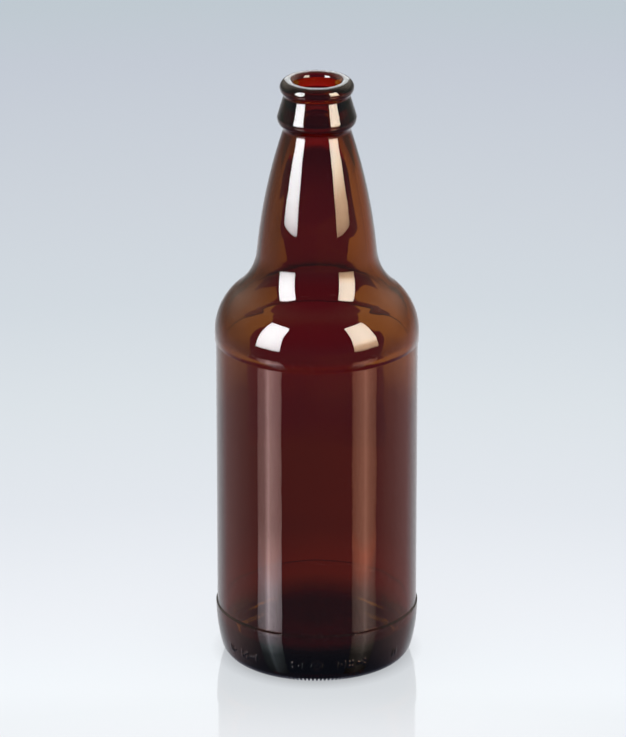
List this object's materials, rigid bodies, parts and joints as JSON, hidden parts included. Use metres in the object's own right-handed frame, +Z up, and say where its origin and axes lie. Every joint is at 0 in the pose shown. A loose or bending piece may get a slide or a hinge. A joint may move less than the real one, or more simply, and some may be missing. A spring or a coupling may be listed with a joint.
{
  "type": "beer bottle",
  "caption": "Empty brown glass beer bottle with rounded shoulders, a sunk label panel and a neck finish for a crimped metal cap.",
  "frame": {"origin": "on the bottle's axis, in the plane that it stands on", "axes": "+Z up along the bottle's axis, from the base to the mouth; the bottle is turned about it, so X and Y are alike"},
  "size_m": [0.0738, 0.0738, 0.2198],
  "materials": {
    "brown_glass": "clear gloss"
  },
  "bodies": {
    "root": {"bottle": "brown_glass"}
  },
  "joints": []
}
